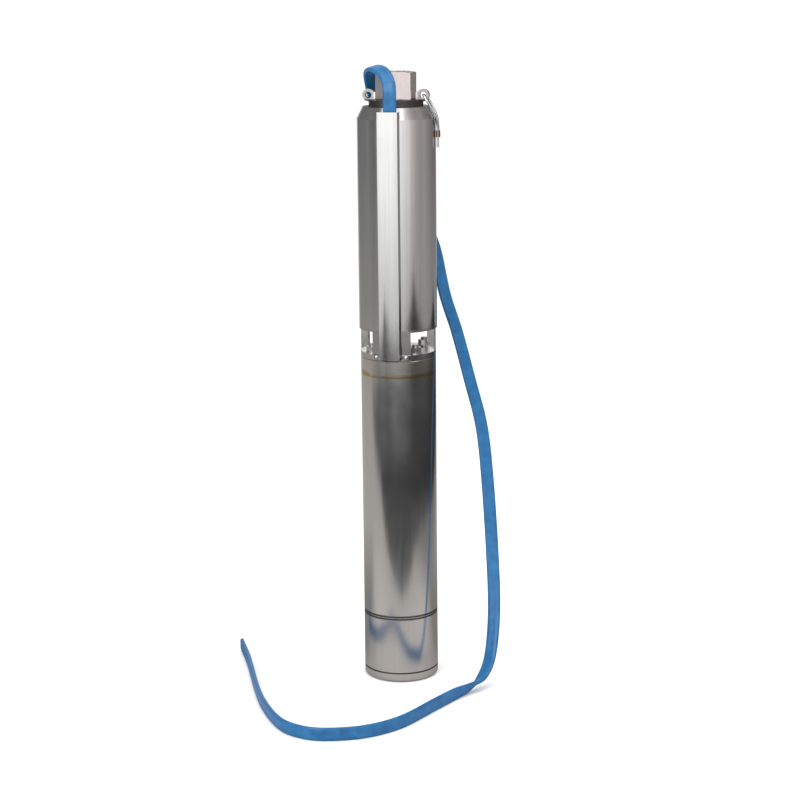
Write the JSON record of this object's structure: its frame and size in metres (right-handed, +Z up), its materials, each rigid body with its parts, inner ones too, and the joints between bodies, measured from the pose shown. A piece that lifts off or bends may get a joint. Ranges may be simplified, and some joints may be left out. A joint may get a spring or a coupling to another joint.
{
  "type": "borehole submersible pump",
  "caption": "Slim stainless borehole pump on end: canned motor below, open suction lantern, multistage pump, hex outlet with check valve, cable guard and flat blue lead.",
  "frame": {"origin": "middle of the base cap's lower face, on the pump's axis", "axes": "+Z up along the shaft to the outlet, -Y towards the cable guard"},
  "size_m": [0.3542, 0.3176, 0.7671],
  "materials": {
    "polished_steel": "mirror-polished stainless sheet",
    "cast_steel": "satin stainless casting",
    "nickel_brass": "plated brass, brass showing at the lower lip",
    "bracket_iron": "machined casting",
    "stage_steel": "pressed stainless sheet",
    "shaft_steel": "ground steel",
    "fastener_steel": "stainless fasteners",
    "strainer_steel": "perforated stainless sheet",
    "spring_steel": "bright spring wire",
    "carbon_bush": "carbon",
    "core_iron": "stacked laminations",
    "winding_copper": "lacquered copper wire",
    "cast_aluminium": "cast",
    "black_rubber": "moulded",
    "black_plastic": "moulded",
    "blue_jacket": "smooth blue cable jacket",
    "seat_bronze": "machined bronze",
    "poppet_plastic": "acetal",
    "wire_rope": "stranded wire",
    "ferrule_copper": "crimped"
  },
  "bodies": {
    "pump_body": {"base_cap": "polished_steel", "motor_shell": "polished_steel", "pump_sleeve": "polished_steel", "cable_guard": "polished_steel", "discharge_head": "cast_steel", "suction_lantern": "cast_steel", "motor_end_bell": "nickel_brass", "lower_bracket": "bracket_iron", "bearing_spider": "stage_steel", "diffuser_1": "stage_steel", "diffuser_2": "stage_steel", "diffuser_3": "stage_steel", "diffuser_4": "stage_steel", "diffuser_5": "stage_steel", "diffuser_6": "stage_steel", "diffuser_7": "stage_steel", "diffuser_8": "stage_steel", "motor_studs": "fastener_steel", "stud_washers": "fastener_steel", "stud_nuts": "fastener_steel", "guard_screws": "fastener_steel", "strainer": "strainer_steel", "valve_spring": "spring_steel", "lower_bush": "carbon_bush", "upper_bush": "carbon_bush", "thrust_pads": "carbon_bush", "stator_core": "core_iron", "stator_windings": "winding_copper", "diaphragm": "black_rubber", "shaft_seal": "black_rubber", "top_bush": "black_rubber", "lead_plug": "black_plastic", "guarded_lead": "blue_jacket", "drop_cable": "blue_jacket", "valve_seat": "seat_bronze", "valve_guide": "poppet_plastic", "wire_loop": "wire_rope", "loop_ferrule": "ferrule_copper"},
    "rotor": {"motor_shaft": "shaft_steel", "rotor_core": "core_iron", "rotor_end_rings": "cast_aluminium", "thrust_runner": "shaft_steel", "sand_slinger": "black_rubber", "shaft_coupling": "shaft_steel", "pump_shaft": "shaft_steel", "journal_sleeve": "shaft_steel", "shaft_nut": "fastener_steel", "impeller_1": "stage_steel", "impeller_2": "stage_steel", "impeller_3": "stage_steel", "impeller_4": "stage_steel", "impeller_5": "stage_steel", "impeller_6": "stage_steel", "impeller_7": "stage_steel", "impeller_8": "stage_steel"},
    "valve": {"valve_poppet": "poppet_plastic", "valve_seal": "black_rubber"}
  },
  "joints": [
    {"name": "rotor_spin", "type": "hinge", "parent": "pump_body", "child": "rotor", "pos_m": [0, 0, 0.4], "axis": [0, 0, 1], "continuous": true},
    {"name": "valve_lift", "type": "slide", "parent": "pump_body", "child": "valve", "axis": [0, 0, 1], "range_m": [0, 0.009], "stiffness_N_per_m": 400, "springref_m": -0.005, "deforming": ["valve_spring"]}
  ]
}
